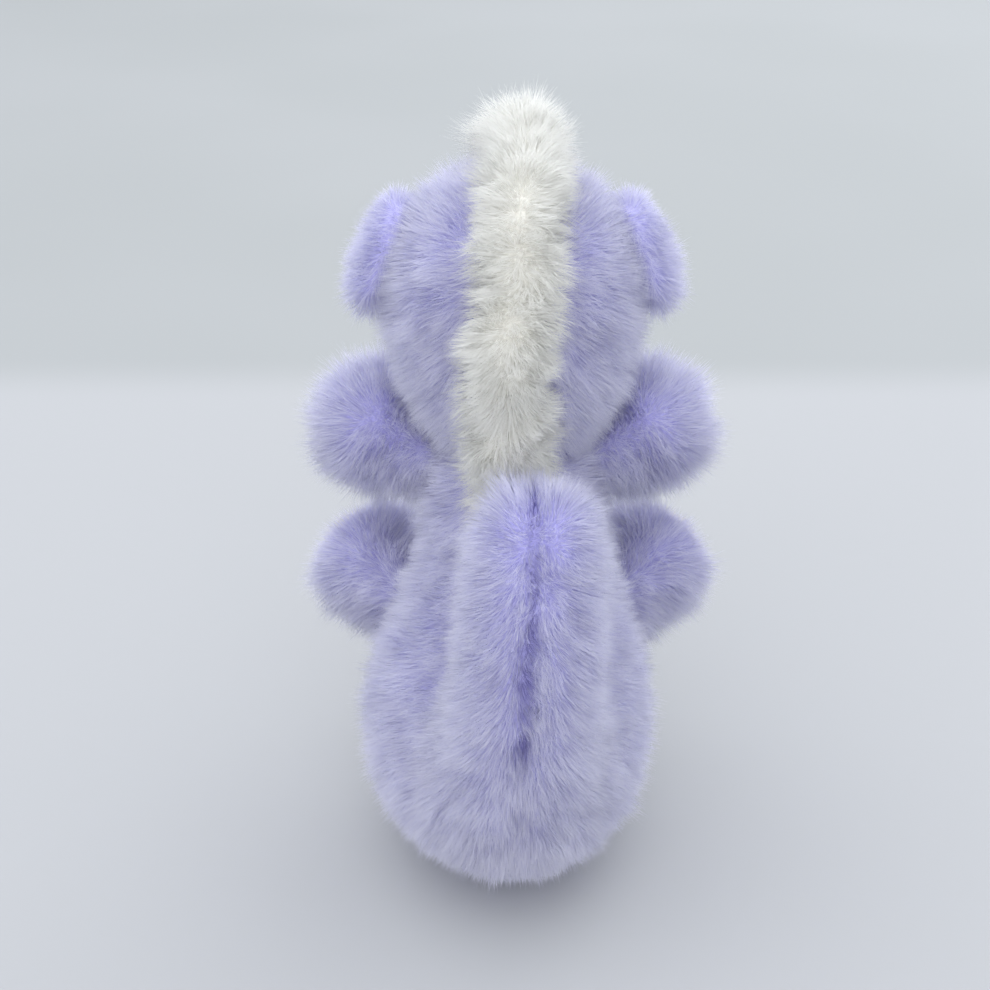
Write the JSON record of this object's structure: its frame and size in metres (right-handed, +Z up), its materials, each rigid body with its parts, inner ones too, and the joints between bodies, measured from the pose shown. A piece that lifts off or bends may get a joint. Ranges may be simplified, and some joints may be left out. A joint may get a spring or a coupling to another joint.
{
  "type": "stuffed dinosaur",
  "caption": "Seated plush baby dinosaur in long lavender fur with a cream fur crest, side ears, stub arms and legs and a thick tail curled up behind.",
  "frame": {"origin": "middle of the flat bottom panel, on the surface the toy sits on", "axes": "+Z up through the body to the crown; the toy faces -Y and its left side is +X"},
  "size_m": [0.1072, 0.1112, 0.1969],
  "materials": {
    "lavender_fur": "long soft faux-rabbit pile",
    "cream_fur": "long tufted pile",
    "short_pile": "short brushed pile",
    "fibre_fill": "loose polyester fibre",
    "pellet_cloth": "plain woven",
    "eye_plastic": "polished",
    "washer_plastic": "moulded",
    "dark_thread": "satin stitch"
  },
  "bodies": {
    "root": {"body_skin": "lavender_fur", "body_stuffing": "fibre_fill", "bean_pouch": "pellet_cloth", "base_panel": "short_pile", "belly_panel": "short_pile", "crest_back": "cream_fur"},
    "head": {"head_skin": "lavender_fur", "head_stuffing": "fibre_fill", "muzzle_skin": "lavender_fur", "muzzle_stuffing": "fibre_fill", "crest_head": "cream_fur", "eye_left": "eye_plastic", "eye_right": "eye_plastic", "eye_washer_left": "washer_plastic", "eye_washer_right": "washer_plastic", "nostril_left": "dark_thread", "nostril_right": "dark_thread", "mouth_stitch": "dark_thread"},
    "tail": {"tail_skin": "lavender_fur", "tail_stuffing": "fibre_fill"},
    "ear_flap_left": {"ear_left": "lavender_fur"},
    "arm_left": {"arm_skin_left": "lavender_fur", "arm_stuffing_left": "fibre_fill"},
    "leg_left": {"leg_skin_left": "lavender_fur", "leg_stuffing_left": "fibre_fill", "sole_left": "short_pile"},
    "ear_flap_right": {"ear_right": "lavender_fur"},
    "arm_right": {"arm_skin_right": "lavender_fur", "arm_stuffing_right": "fibre_fill"},
    "leg_right": {"leg_skin_right": "lavender_fur", "leg_stuffing_right": "fibre_fill", "sole_right": "short_pile"}
  },
  "joints": [
    {"name": "head_turn", "type": "hinge", "parent": "root", "child": "head", "pos_m": [0, -0.012, 0.118], "axis": [0, 0, 1], "range_deg": [-30, 30], "stiffness_Nm_per_rad": 0.04},
    {"name": "tail_bend", "type": "hinge", "parent": "root", "child": "tail", "pos_m": [-0.001, 0.031, 0.044], "axis": [-1, 0, 0], "range_deg": [-4, 35], "stiffness_Nm_per_rad": 0.08},
    {"name": "arm_swing_left", "type": "hinge", "parent": "root", "child": "arm_left", "pos_m": [0.0205, -0.019, 0.109], "axis": [-0.476, -0.8795, 0], "range_deg": [-33, 20], "stiffness_Nm_per_rad": 0.03},
    {"name": "leg_swing_left", "type": "hinge", "parent": "root", "child": "leg_left", "pos_m": [0.0275, -0.0265, 0.06], "axis": [-0.7474, -0.6644, 0], "range_deg": [-25, 15], "stiffness_Nm_per_rad": 0.04},
    {"name": "ear_flap_hinge_left", "type": "hinge", "parent": "head", "child": "ear_flap_left", "pos_m": [0.0279, -0.019, 0.1745], "axis": [0, -1, 0], "range_deg": [0, 60], "stiffness_Nm_per_rad": 0.006},
    {"name": "arm_swing_right", "type": "hinge", "parent": "root", "child": "arm_right", "pos_m": [-0.0205, -0.019, 0.109], "axis": [-0.476, 0.8795, 0], "range_deg": [-33, 20], "stiffness_Nm_per_rad": 0.03},
    {"name": "leg_swing_right", "type": "hinge", "parent": "root", "child": "leg_right", "pos_m": [-0.0275, -0.0265, 0.06], "axis": [-0.7474, 0.6644, 0], "range_deg": [-25, 15], "stiffness_Nm_per_rad": 0.04},
    {"name": "ear_flap_hinge_right", "type": "hinge", "parent": "head", "child": "ear_flap_right", "pos_m": [-0.0279, -0.019, 0.1745], "axis": [0, 1, 0], "range_deg": [0, 60], "stiffness_Nm_per_rad": 0.006}
  ]
}
